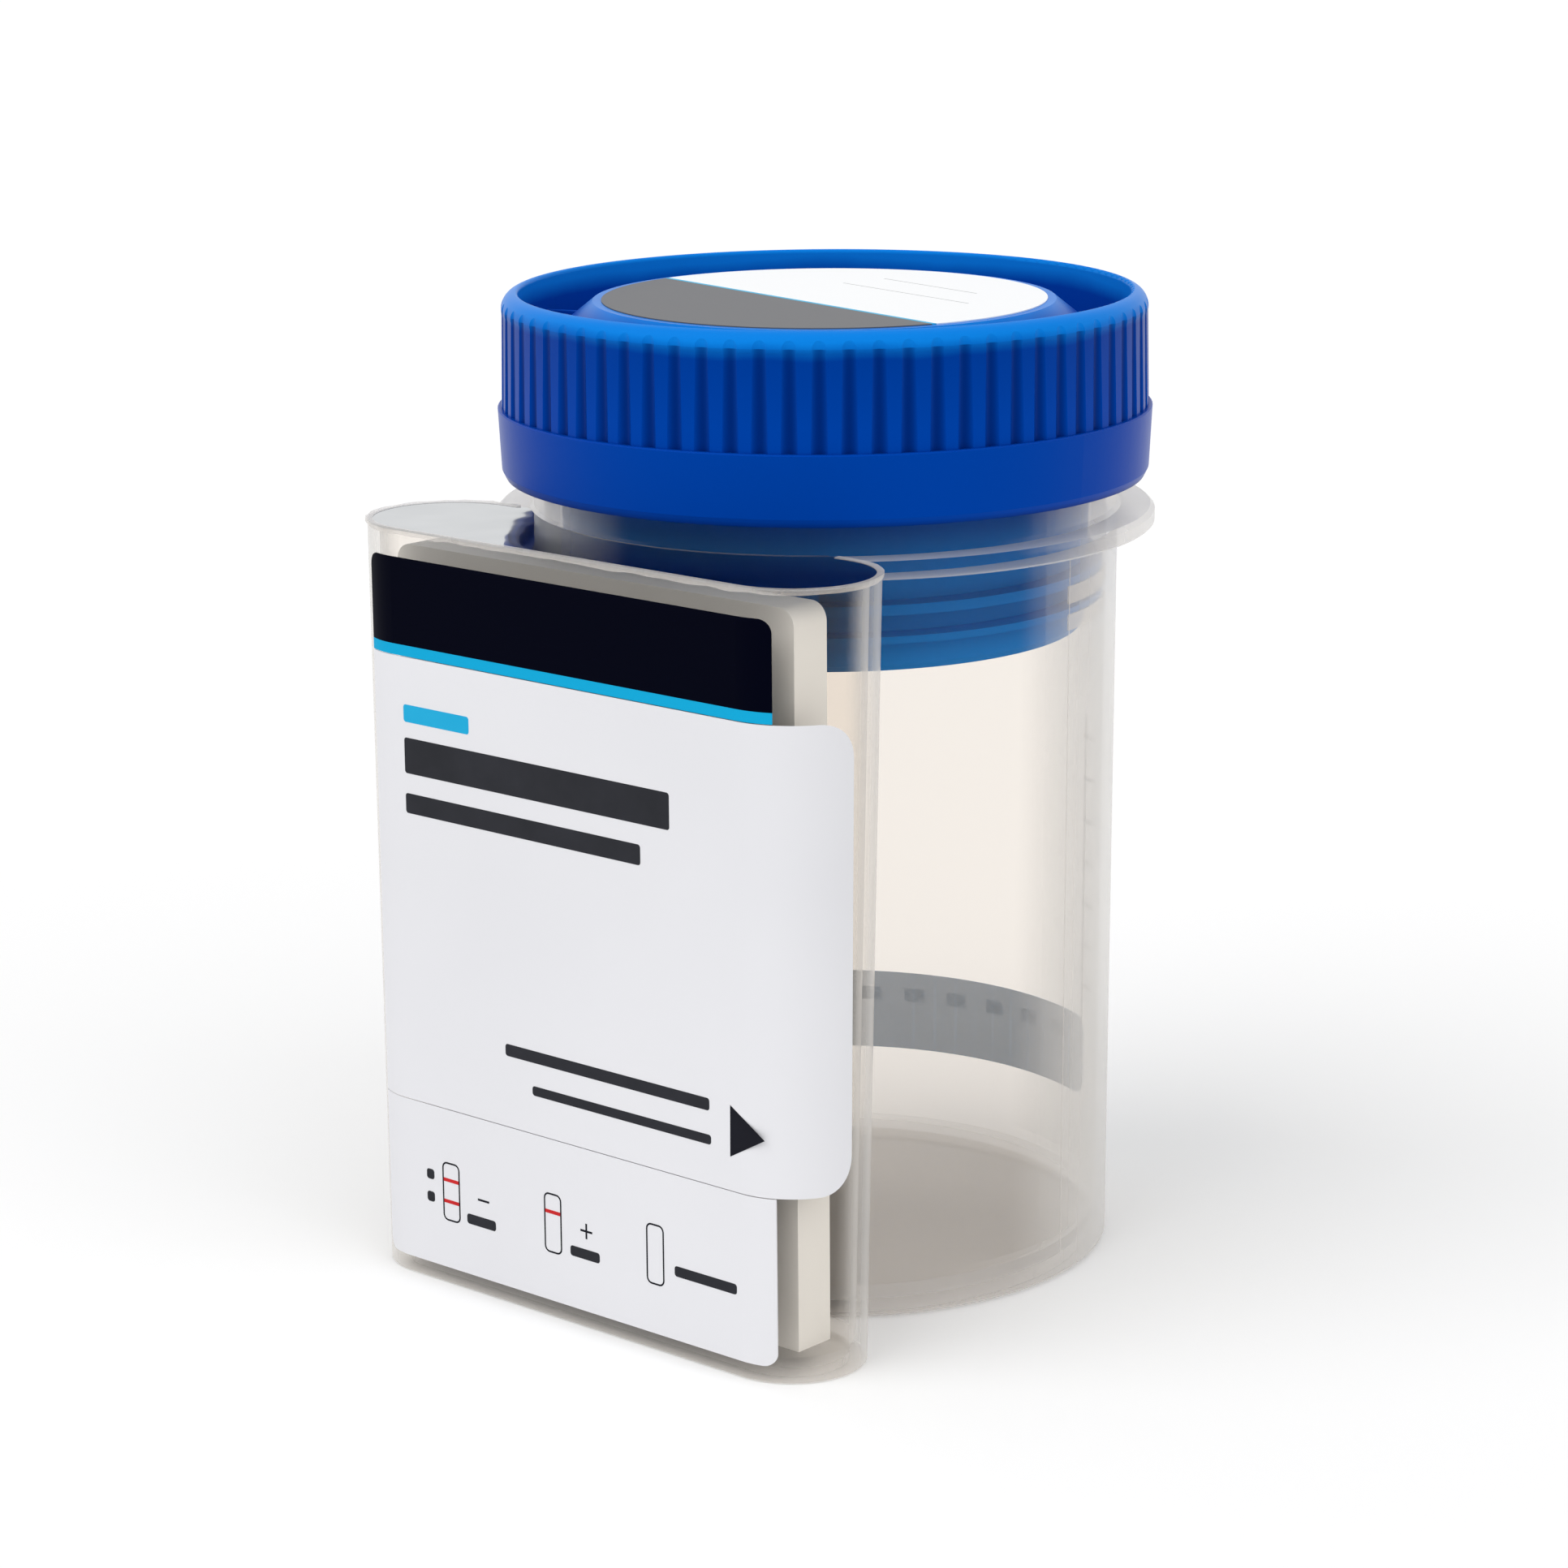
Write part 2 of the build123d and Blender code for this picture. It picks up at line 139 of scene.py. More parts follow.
def add_bump(tree, shader, grain, distance, strength):
    bump = add_node(tree, "ShaderNodeBump")
    bump.inputs["Strength"].default_value = strength
    bump.inputs["Distance"].default_value = distance
    tree.links.new(grain.outputs["Fac"], bump.inputs["Height"])
    tree.links.new(bump.outputs["Normal"], shader.inputs["Normal"])


def share_by_slant(tree, blend, face_on, grazing, from_slant=0.0):
    """A share that grows with the slant of the surface, as the milk in clear moulded plastic does."""
    facing = add_node(tree, "ShaderNodeLayerWeight")
    facing.inputs["Blend"].default_value = blend
    share = add_node(tree, "ShaderNodeMapRange")
    share.inputs["From Min"].default_value = from_slant
    share.inputs["To Min"].default_value = face_on
    share.inputs["To Max"].default_value = grazing
    tree.links.new(facing.outputs["Facing"], share.inputs["Value"])
    return share.outputs["Result"]


def natural_polypropylene():
    """Tinted clear plastic: light passes through it, and a milky veil of its own colour lies over that."""
    material, tree, shader = shader_tree("natural_polypropylene")
    haze = object_noise(tree, 40.0, 4.0)
    vary_colour(tree, shader, haze, (0.86, 0.85, 0.83), (0.91, 0.90, 0.88))
    shader.inputs["Roughness"].default_value = 0.2
    shader.inputs["IOR"].default_value = 1.49
    add_bump(tree, shader, object_noise(tree, 90.0, 2.0), 0.00005, 0.4)
    clear = add_node(tree, "ShaderNodeBsdfTransparent")
    clear.inputs["Color"].default_value = (0.979, 0.964, 0.947, 1.0)
    veiled = add_node(tree, "ShaderNodeMixShader")
    tree.links.new(share_by_slant(tree, 0.5, 0.012, 0.72, from_slant=0.3), veiled.inputs["Fac"])
    tree.links.new(clear.outputs["BSDF"], veiled.inputs[1])
    tree.links.new(shader.outputs["BSDF"], veiled.inputs[2])
    tree.links.new(veiled.outputs["Shader"], tree.nodes["Material Output"].inputs["Surface"])
    return material


def groove_shade(tree, where, split):
    """Painted shade in the bottom of the grip's grooves, below the lid's shoulder."""
    flat = add_node(tree, "ShaderNodeVectorMath", operation="MULTIPLY")
    flat.inputs[1].default_value = (1.0, 1.0, 0.0)
    radius = add_node(tree, "ShaderNodeVectorMath", operation="LENGTH")
    from_groove = add_node(tree, "ShaderNodeMath", operation="SUBTRACT")
    from_groove.inputs[1].default_value = GROOVE_R * MM
    apart = add_node(tree, "ShaderNodeMath", operation="ABSOLUTE")
    near = add_node(tree, "ShaderNodeMapRange")
    near.inputs["From Max"].default_value = GROOVE_REACH * MM
    near.inputs["To Min"].default_value = 1.0
    near.inputs["To Max"].default_value = 0.0
    below = add_node(tree, "ShaderNodeMath", operation="LESS_THAN")
    below.inputs[1].default_value = SHOULDER_Z * MM
    amount = add_node(tree, "ShaderNodeMath", operation="MULTIPLY")
    # Multiplies a painted shade colour into the blue near the grooves' bottoms
    shade = add_node(tree, "ShaderNodeMix", data_type="RGBA", blend_type="MULTIPLY")
    shade.inputs["B"].default_value = (0.5, 0.42, 0.5, 1.0)
    tree.links.new(where.outputs["Object"], flat.inputs[0])
    tree.links.new(flat.outputs["Vector"], radius.inputs[0])
    tree.links.new(radius.outputs["Value"], from_groove.inputs[0])
    tree.links.new(from_groove.outputs["Value"], apart.inputs[0])
    tree.links.new(apart.outputs["Value"], near.inputs["Value"])
    tree.links.new(split.outputs["Z"], below.inputs[0])
    tree.links.new(near.outputs["Result"], amount.inputs[0])
    tree.links.new(below.outputs["Value"], amount.inputs[1])
    tree.links.new(amount.outputs["Value"], shade.inputs["Factor"])
    return shade


def blue_polyethylene():
    """Deep blue, with painted light: lighter in the thin plug below and at the crest above, where light comes
    through it.
    """
    material, tree, shader = shader_tree("blue_polyethylene")
    where = add_node(tree, "ShaderNodeTexCoord")
    split = add_node(tree, "ShaderNodeSeparateXYZ")
    height = add_node(tree, "ShaderNodeMapRange")
    height.inputs["From Min"].default_value = PLUG_BOTTOM * MM
    height.inputs["From Max"].default_value = LID_TOP * MM
    cloud = object_noise(tree, 60.0, 3.0)
    drift = add_node(tree, "ShaderNodeMath", operation="MULTIPLY_ADD")
    drift.inputs[1].default_value = 0.05
    # This ramp paints light into the blue: lighter at the plug's end and at the crest
    depth = add_node(tree, "ShaderNodeValToRGB")
    set_stops(depth, LID_BLUES_AND_PAINTED_LIGHT)
    tree.links.new(where.outputs["Object"], split.inputs["Vector"])
    tree.links.new(split.outputs["Z"], height.inputs["Value"])
    tree.links.new(cloud.outputs["Fac"], drift.inputs[0])
    tree.links.new(height.outputs["Result"], drift.inputs[2])
    tree.links.new(drift.outputs["Value"], depth.inputs["Fac"])
    # Painted shade darkens the blue in the grooves' bottoms
    shade = groove_shade(tree, where, split)
    tree.links.new(depth.outputs["Color"], shade.inputs["A"])
    tree.links.new(shade.outputs["Result"], shader.inputs["Base Color"])
    shader.inputs["Roughness"].default_value = 0.3
    shader.inputs["IOR"].default_value = 1.16
    shader.inputs["Specular IOR Level"].default_value = 0.35
    shader.inputs["Specular Tint"].default_value = (0.02, 0.42, 1.0, 1.0)
    add_bump(tree, shader, object_noise(tree, 900.0, 2.0), 0.00002, 0.35)
    return material


def sealing_film():
    """Clear sheet that mirrors at a slant. Past 1 the share is cut off, so it mirrors fully a little early."""
    material, tree, shader = shader_tree("sealing_film")
    wrinkle = object_noise(tree, 55.0, 2.0)
    vary_colour(tree, shader, wrinkle, (0.42, 0.44, 0.46), (0.52, 0.54, 0.56))
    shader.inputs["Metallic"].default_value = 1.0
    shader.inputs["Roughness"].default_value = 0.07
    tree.links.new(share_by_slant(tree, 0.5, 0.3, 1.2), shader.inputs["Alpha"])
    add_bump(tree, shader, wrinkle, 0.0008, 0.4)
    return material


def white_label_stock(name, dark, light):
    material, tree, shader = shader_tree(name)
    vary_colour(tree, shader, object_noise(tree, 25.0, 2.0), dark, light)
    shader.inputs["Roughness"].default_value = 0.5
    shader.inputs["Specular IOR Level"].default_value = 0.15
    add_bump(tree, shader, object_noise(tree, 1400.0, 2.0), 0.00001, 0.3)
    return material


def banded_header():
    """Black label stock with a light blue stripe along its lower edge."""
    material, tree, shader = shader_tree("black_header_stock")
    where = add_node(tree, "ShaderNodeTexCoord")
    split = add_node(tree, "ShaderNodeSeparateXYZ")
    above = add_node(tree, "ShaderNodeMath", operation="GREATER_THAN")
    above.inputs[1].default_value = STRIPE_TOP * MM
    colours = add_node(tree, "ShaderNodeMix", data_type="RGBA")
    colours.inputs["A"].default_value = (*STRIPE_BLUE, 1.0)
    colours.inputs["B"].default_value = (0.0006, 0.0010, 0.006, 1.0)
    tree.links.new(where.outputs["Object"], split.inputs["Vector"])
    tree.links.new(split.outputs["Z"], above.inputs[0])
    tree.links.new(above.outputs["Value"], colours.inputs["Factor"])
    tree.links.new(colours.outputs["Result"], shader.inputs["Base Color"])
    shader.inputs["Roughness"].default_value = 0.4
    shader.inputs["IOR"].default_value = 1.15
    shader.inputs["Specular IOR Level"].default_value = 0.12
    add_bump(tree, shader, object_noise(tree, 1400.0, 2.0), 0.00001, 0.3)
    return material


def lid_label_stock():
    """White paper with a grey field on one side of a straight line, edged by a light blue stripe."""
    material, tree, shader = shader_tree("lid_label_stock")
    where = add_node(tree, "ShaderNodeTexCoord")
    turned = add_node(tree, "ShaderNodeMapping")
    turned.inputs["Rotation"].default_value = (0.0, 0.0, math.radians(LABEL_TURN))
    split = add_node(tree, "ShaderNodeSeparateXYZ")
    in_grey = add_node(tree, "ShaderNodeMath", operation="LESS_THAN")
    in_grey.inputs[1].default_value = GREY_BORDER * MM
    in_stripe = add_node(tree, "ShaderNodeMath", operation="LESS_THAN")
    in_stripe.inputs[1].default_value = (GREY_BORDER + BORDER_STRIPE) * MM
    white_or_blue = add_node(tree, "ShaderNodeMix", data_type="RGBA")
    white_or_blue.inputs["A"].default_value = (0.92, 0.93, 0.94, 1.0)
    white_or_blue.inputs["B"].default_value = (0.03, 0.45, 0.72, 1.0)
    all_colours = add_node(tree, "ShaderNodeMix", data_type="RGBA")
    all_colours.inputs["B"].default_value = (0.125, 0.127, 0.135, 1.0)
    tree.links.new(where.outputs["Object"], turned.inputs["Vector"])
    tree.links.new(turned.outputs["Vector"], split.inputs["Vector"])
    tree.links.new(split.outputs["Y"], in_grey.inputs[0])
    tree.links.new(split.outputs["Y"], in_stripe.inputs[0])
    tree.links.new(in_stripe.outputs["Value"], white_or_blue.inputs["Factor"])
    tree.links.new(in_grey.outputs["Value"], all_colours.inputs["Factor"])
    tree.links.new(white_or_blue.outputs["Result"], all_colours.inputs["A"])
    tree.links.new(all_colours.outputs["Result"], shader.inputs["Base Color"])
    shader.inputs["Roughness"].default_value = 0.45
    shader.inputs["Specular IOR Level"].default_value = 0.1
    add_bump(tree, shader, object_noise(tree, 1200.0, 2.0), 0.00001, 0.3)
    return material


def plain_finish(name, dark, light, roughness, scale, bump=0.00002, alpha=1.0):
    material, tree, shader = shader_tree(name)
    grain = object_noise(tree, scale, 3.0)
    vary_colour(tree, shader, grain, dark, light)
    shader.inputs["Roughness"].default_value = roughness
    shader.inputs["Specular IOR Level"].default_value = 0.12
    shader.inputs["Alpha"].default_value = alpha
    add_bump(tree, shader, grain, bump, 0.5)
    return material


def moulded_mark():
    """Raised marks of the cup's own plastic, a little milkier than its wall."""
    material, tree, shader = shader_tree("moulded_mark")
    vary_colour(tree, shader, object_noise(tree, 70.0), (0.80, 0.76, 0.72), (0.86, 0.82, 0.78))
    shader.inputs["Roughness"].default_value = 0.3
    tree.links.new(share_by_slant(tree, 0.4, 0.25, 0.6), shader.inputs["Alpha"])
    return material


cup_plastic = natural_polypropylene()
lid_plastic = blue_polyethylene()
film_finish = sealing_film()
header_finish = banded_header()
label_finish = white_label_stock("white_label_stock", (0.79, 0.79, 0.82), (0.82, 0.82, 0.85))
lid_label_finish = lid_label_stock()
carrier_finish = plain_finish("carrier_plastic", (0.93, 0.93, 0.90), (0.96, 0.96, 0.94), 0.4, 50.0)
seal_finish = plain_finish("foam_seal", (0.74, 0.74, 0.73), (0.82, 0.82, 0.80), 0.8, 700.0, 0.0001)
strip_card_finish = plain_finish("strip_card", (0.80, 0.80, 0.79), (0.84, 0.84, 0.83), 0.5, 80.0)
pad_finish = plain_finish("strip_pad", (0.72, 0.70, 0.66), (0.84, 0.82, 0.78), 0.9, 1200.0, 0.0001)
membrane_finish = plain_finish("strip_membrane", (0.86, 0.85, 0.84), (0.90, 0.89, 0.88), 0.8, 1500.0)
temperature_finish = plain_finish(
    "temperature_strip", (0.22, 0.40, 0.62), (0.26, 0.45, 0.67), 0.4, 90.0, alpha=0.48
)
temperature_mark_finish = plain_finish(
    "temperature_mark", (0.78, 0.80, 0.84), (0.84, 0.86, 0.9), 0.5, 90.0, alpha=0.14
)
black_ink = plain_finish("black_ink", (0.0010, 0.0014, 0.006), (0.002, 0.0025, 0.008), 0.4, 200.0)
grey_ink = plain_finish("grey_ink", (0.016, 0.017, 0.022), (0.022, 0.023, 0.03), 0.4, 200.0)
pale_ink = plain_finish("pale_ink", (0.50, 0.50, 0.51), (0.55, 0.55, 0.56), 0.4, 200.0)
blue_ink = plain_finish("light_blue_ink", STRIPE_BLUE, (0.012, 0.42, 0.72), 0.4, 200.0)
red_ink = plain_finish("red_ink", (0.55, 0.012, 0.015), (0.60, 0.018, 0.02), 0.4, 200.0)
mark_finish = moulded_mark()


def dress(node, material):
    for slot in nodes[node].material_slots:
        slot.material = material


def dress_solids():
    finishes = {
        "cup_body": cup_plastic,
        "lid": lid_plastic,
        "sealing_ring": seal_finish,
        "lid_label": lid_label_finish,
        "compartment_film": film_finish,
        "strip_carrier": carrier_finish,
        "label_header": header_finish,
        "peel_label": label_finish,
        "label_footer": label_finish,
        "temperature_strip": temperature_finish,
    }
    layers = {
        "backing_card": strip_card_finish,
        "sample_pad": pad_finish,
        "conjugate_pad": pad_finish,
        "membrane": membrane_finish,
        "absorbent_pad": pad_finish,
    }
    for name, node in nodes.items():
        finish = finishes.get(name) or layers[name.rsplit("_", 1)[0]]
        dress(name, finish)


# Small printed and moulded shapes
def finish_piece(name, mesh_builder, material, body):
    bmesh.ops.recalc_face_normals(mesh_builder, faces=mesh_builder.faces)
    mesh = bpy.data.meshes.new(name)
    mesh_builder.to_mesh(mesh)
    mesh_builder.free()
    mesh.materials.append(material)
    piece = bpy.data.objects.new(name, mesh)
    bpy.context.scene.collection.objects.link(piece)
    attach(piece, body)
    return piece


def add_plate(builder, outline, place, thickness, hole=None):
    """Adds a closed thin plate. place turns (across, up, out) in millimetres into a point of the object."""
    count = len(outline)
    rings = []
    for points, out in ((outline, 0.0), (outline, thickness)):
        rings.append([builder.verts.new(place(a, b, out)) for a, b in points])
    if hole:
        for out in (0.0, thickness):
            rings.append([builder.verts.new(place(a, b, out)) for a, b in hole])
        pairs = ((0, 1), (1, 3), (3, 2), (2, 0))
        for first, second in pairs:
            for i in range(count):
                j = (i + 1) % count
                builder.faces.new((rings[first][i], rings[first][j], rings[second][j], rings[second][i]))
        return
    builder.faces.new(rings[0])
    builder.faces.new(list(reversed(rings[1])))
    for i in range(count):
        j = (i + 1) % count
        builder.faces.new((rings[0][i], rings[0][j], rings[1][j], rings[1][i]))


def on_front(across, up, out):
    return Vector((across, FRONT_Y - out, up)) * MM


def rounded_box(left, right, low, high, radius, steps=5):
    points = []
    corners = (
        (right - radius, high - radius, 0),
        (left + radius, high - radius, 90),
        (left + radius, low + radius, 180),
        (right - radius, low + radius, 270),
    )
    for x, y, start in corners:
        for step in range(steps + 1):
            angle = math.radians(start + 90 * step / steps)
            points.append((x + radius * math.cos(angle), y + radius * math.sin(angle)))
    return points


def box_outline(left, right, low, high):
    return [(left, low), (right, low), (right, high), (left, high)]


# Print on the front labels: left, right, low and high of each shape, in millimetres
INK = 0.02
WINDOWS = ((-20.06, -17.28), (-3.9, -1.2), (11.7, 14.35))
WINDOW_LOW = 7.47
WINDOW_HIGH = 14.5
WINDOW_LINE = 0.2
WINDOW_CORNER = 0.75
RESULT_LINES = ((0, 12.36), (0, 9.81), (1, 12.29))  # window and height of each red line
RESULT_LINE_H = 0.42
ARROW = ((24.3, 30.5), (24.25, 24.7), (29.2, 27.5))
MINUS_AND_PLUS = (
    (-14.4, -12.6, 11.0, 11.25),
    (1.7, 3.5, 11.1, 11.35),
    (2.47, 2.73, 10.33, 11.1),
    (2.47, 2.73, 11.35, 12.12),
)
GREY_BARS = (
    (-24.3, 16.0, 59.3, 63.4),
    (-24.3, 11.7, 54.7, 57.0),
    (-9.4, 21.3, 29.2, 30.6),
    (-5.3, 21.5, 25.4, 26.5),
    (-16.2, -11.6, 7.9, 9.1),
    (0.1, 4.6, 7.9, 9.1),
    (15.9, 25.0, 9.2, 10.4),
    (-22.6, -21.4, 11.9, 13.1),
    (-22.6, -21.4, 9.2, 10.4),
)
BLUE_BAR = (-24.3, -14.0, 65.2, 67.2)
BAR_CORNER = 0.35


def add_bar(builder, left, right, low, high):
    corner = min(BAR_CORNER, (high - low) / 2.01)
    add_plate(builder, rounded_box(left, right, low, high, corner), on_front, INK)


def print_front_label():
    black = bmesh.new()
    for left, right in WINDOWS:
        outer = rounded_box(left, right, WINDOW_LOW, WINDOW_HIGH, WINDOW_CORNER)
        inner = rounded_box(
            left + WINDOW_LINE,
            right - WINDOW_LINE,
            WINDOW_LOW + WINDOW_LINE,
            WINDOW_HIGH - WINDOW_LINE,
            WINDOW_CORNER - WINDOW_LINE,
        )
        add_plate(black, outer, on_front, INK, inner)
    add_plate(black, ARROW, on_front, INK)
    for stroke in MINUS_AND_PLUS:
        add_plate(black, box_outline(*stroke), on_front, INK)
    finish_piece("label_black_print", black, black_ink, "cup")

    grey = bmesh.new()
    for bar in GREY_BARS:
        add_bar(grey, *bar)
    finish_piece("label_grey_print", grey, grey_ink, "cup")

    blue = bmesh.new()
    add_bar(blue, *BLUE_BAR)
    finish_piece("label_blue_print", blue, blue_ink, "cup")

    red = bmesh.new()
    for window, height in RESULT_LINES:
        left, right = WINDOWS[window]
        low = height - RESULT_LINE_H / 2
        high = height + RESULT_LINE_H / 2
        add_plate(red, box_outline(left + WINDOW_LINE, right - WINDOW_LINE, low, high), on_front, INK)
    finish_piece("label_red_print", red, red_ink, "cup")


WRITE_ON_LINES = ((-8.0, 14.8, 8.9), (-8.0, 8.9, 14.9))  # left, right and height
WRITE_ON_LINE_H = 0.16


def print_lid_label():
    turn = math.radians(-LABEL_TURN)

    def on_lid(across, up, out):
        x = across * math.cos(turn) - up * math.sin(turn)
        y = across * math.sin(turn) + up * math.cos(turn)
        return Vector((x, y, PLATEAU_Z + LABEL_T + out)) * MM

    pale = bmesh.new()
    for left, right, height in WRITE_ON_LINES:
        line = box_outline(left, right, height - WRITE_ON_LINE_H / 2, height + WRITE_ON_LINE_H / 2)
        add_plate(pale, line, on_lid, INK)
    finish_piece("lid_label_lines", pale, pale_ink, "lid")


# Welded film's ragged rim, which stops where the neck's land begins
ROUND_END_STEPS = 26
WELD_STEP = 1.0
WELD_STOP_R = 34.6
WELD_WAVE_RATE = 0.35  # rough waves in a millimetre
WELD_FLICK_RATE = 1.3
WELD_MEAN = 0.16  # how far the weld stands out, and above the film
WELD_WAVE = 0.18
WELD_FLICK = 0.12
WELD_LEAST_PROUD = 0.06
WELD_LEAST_LIFT = 0.04
WELD_FOOT = -0.42
WELD_FOOT_WAVE = 0.22
WELD_BEND = -0.12
WELD_INSIDE = -0.55


def compartment_outline():
    """Top edge of the compartment as points, both round ends and the straight runs between them."""
    centre_y = TOP_END_R - FRONT_REACH
    corners = []
    for start, x in ((-90, END_X), (90, -END_X)):
        for step in range(ROUND_END_STEPS + 1):
            angle = math.radians(start + 180 * step / ROUND_END_STEPS)
            corners.append((x + TOP_END_R * math.cos(angle), centre_y + TOP_END_R * math.sin(angle)))
    points = []
    for i, (x, y) in enumerate(corners):
        next_x, next_y = corners[(i + 1) % len(corners)]
        pieces = max(1, round(math.hypot(next_x - x, next_y - y) / WELD_STEP))
        for k in range(pieces):
            points.append((x + (next_x - x) * k / pieces, y + (next_y - y) * k / pieces))
    return points


def weld_path():
    """The part of that edge outside the land, from one side of the neck round to the other."""
    kept = [point for point in compartment_outline() if math.hypot(*point) > WELD_STOP_R]
    steps = [math.hypot(x - kept[i - 1][0], y - kept[i - 1][1]) for i, (x, y) in enumerate(kept)]
    start = steps.index(max(steps))
    return kept[start:] + kept[:start]


def weld_film_rim():
    ridge = bmesh.new()
    path = weld_path()
    rings = []
    for i, (x, y) in enumerate(path):
        before = path[max(i - 1, 0)]
        after = path[min(i + 1, len(path) - 1)]
        run = Vector((after[0] - before[0], after[1] - before[1])).normalized()
        outward = Vector((run.y, -run.x))
        wave = noise.noise(Vector((x * WELD_WAVE_RATE, y * WELD_WAVE_RATE, 2.0)))
        flick = noise.noise(Vector((x * WELD_FLICK_RATE, y * WELD_FLICK_RATE, 7.0)))
        proud = max(WELD_MEAN + WELD_WAVE * wave + WELD_FLICK * flick, WELD_LEAST_PROUD)
        lift = max(WELD_MEAN + WELD_FLICK * flick, WELD_LEAST_LIFT)
        section = (
            (0.02, WELD_FOOT + WELD_FOOT_WAVE * wave),
            (proud, WELD_BEND),
            (proud, FILM_T + lift),
            (WELD_INSIDE, FILM_T + 0.05),
            (WELD_INSIDE, FILM_T + 0.005),
        )
        ring = []
        for out, up in section:
            point = Vector((x + outward.x * out, y + outward.y * out, FLANGE_TOP + up))
            ring.append(ridge.verts.new(point * MM))
        rings.append(ring)
    count = len(rings[0])
    for i in range(len(rings) - 1):
        for k in range(count):
            m = (k + 1) % count
            ridge.faces.new((rings[i][k], rings[i][m], rings[i + 1][m], rings[i + 1][k]))
    ridge.faces.new(rings[0])
    ridge.faces.new(list(reversed(rings[-1])))
    finish_piece("film_weld_rim", ridge, mark_finish, "cup")


# Graduation on the wall opposite the compartment's end
def graduation_tree(tick_material):
    tree = bpy.data.node_groups.new("graduation_ticks", "GeometryNodeTree")
    for label, kind, value in (
        ("Ticks", "NodeSocketInt", 7),
        ("Lowest", "NodeSocketFloat", 25.3 * MM),
        ("Pitch", "NodeSocketFloat", 5.14 * MM),
        ("Radius", "NodeSocketFloat", 33.0 * MM),
        ("Length", "NodeSocketFloat", 2.9 * MM),
        ("Width", "NodeSocketFloat", 0.35 * MM),
        ("Depth", "NodeSocketFloat", 0.3 * MM),
        ("Turn", "NodeSocketFloat", math.radians(60.5)),
    ):
        socket = tree.interface.new_socket(label, in_out="INPUT", socket_type=kind)
        socket.default_value = value
    tree.interface.new_socket("Geometry", in_out="OUTPUT", socket_type="NodeSocketGeometry")
    given = tree.nodes.new("NodeGroupInput")
    result = tree.nodes.new("NodeGroupOutput")
    column = tree.nodes.new("GeometryNodeMeshLine")
    start = tree.nodes.new("ShaderNodeCombineXYZ")
    step = tree.nodes.new("ShaderNodeCombineXYZ")
    bar = tree.nodes.new("GeometryNodeMeshCube")
    bar_size = tree.nodes.new("ShaderNodeCombineXYZ")
    rows = tree.nodes.new("GeometryNodeInstanceOnPoints")
    whole = tree.nodes.new("GeometryNodeRealizeInstances")
    turned = tree.nodes.new("GeometryNodeTransform")
    turn = tree.nodes.new("ShaderNodeCombineXYZ")
    coat = tree.nodes.new("GeometryNodeSetMaterial")
    coat.inputs["Material"].default_value = tick_material
    links = tree.links
    links.new(given.outputs["Ticks"], column.inputs["Count"])
    links.new(given.outputs["Radius"], start.inputs["X"])
    links.new(given.outputs["Lowest"], start.inputs["Z"])
    links.new(given.outputs["Pitch"], step.inputs["Z"])
    links.new(start.outputs["Vector"], column.inputs["Start Location"])
    links.new(step.outputs["Vector"], column.inputs["Offset"])
    links.new(given.outputs["Depth"], bar_size.inputs["X"])
    links.new(given.outputs["Length"], bar_size.inputs["Y"])
    links.new(given.outputs["Width"], bar_size.inputs["Z"])
    links.new(bar_size.outputs["Vector"], bar.inputs["Size"])
    links.new(column.outputs["Mesh"], rows.inputs["Points"])
    links.new(bar.outputs["Mesh"], rows.inputs["Instance"])
    links.new(rows.outputs["Instances"], turned.inputs["Geometry"])
    links.new(given.outputs["Turn"], turn.inputs["Z"])
    links.new(turn.outputs["Vector"], turned.inputs["Rotation"])
    links.new(turned.outputs["Geometry"], whole.inputs["Geometry"])
    links.new(whole.outputs["Geometry"], coat.inputs["Geometry"])
    links.new(coat.outputs["Geometry"], result.inputs["Geometry"])
    return tree


def mould_graduation():
    tree = graduation_tree(mark_finish)
    seed_mesh = bpy.data.meshes.new("graduation_seed")
    maker = bpy.data.objects.new("graduation_maker", seed_mesh)
    bpy.context.scene.collection.objects.link(maker)
    modifier = maker.modifiers.new("ticks", "NODES")
    modifier.node_group = tree
    bpy.context.view_layer.update()
    ready = maker.evaluated_get(bpy.context.evaluated_depsgraph_get())
    mesh = bpy.data.meshes.new_from_object(ready)
    bpy.data.objects.remove(maker)
    mesh.name = "graduation_ticks"
    piece = bpy.data.objects.new("graduation_ticks", mesh)
    bpy.context.scene.collection.objects.link(piece)
    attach(piece, "cup")


def on_wall(inside, start_turn):
    """Places (along the wall, up, out) on the cup's wall, either inside it or outside it."""

    def place(across, up, out):
        radius = body_radius(up) - CUP_WALL - out if inside else body_radius(up) + out
        angle = math.radians(start_turn) + across / radius
        return Vector((radius * math.cos(angle), radius * math.sin(angle), up)) * MM

    return place


def wall_strip(builder, place, left, right, low, high, out, thickness, steps):
    """A closed strip that follows the round wall, in short flat runs."""
    rows = []
    for step in range(steps + 1):
        along = left + (right - left) * step / steps
        rows.append(
            [
                builder.verts.new(place(along, up, depth))
                for up, depth in ((low, out), (high, out), (high, out + thickness), (low, out + thickness))
            ]
        )
    for i in range(steps):
        for k in range(4):
            m = (k + 1) % 4
            builder.faces.new((rows[i][k], rows[i][m], rows[i + 1][m], rows[i + 1][k]))
    builder.faces.new(rows[0])
    builder.faces.new(list(reversed(rows[-1])))


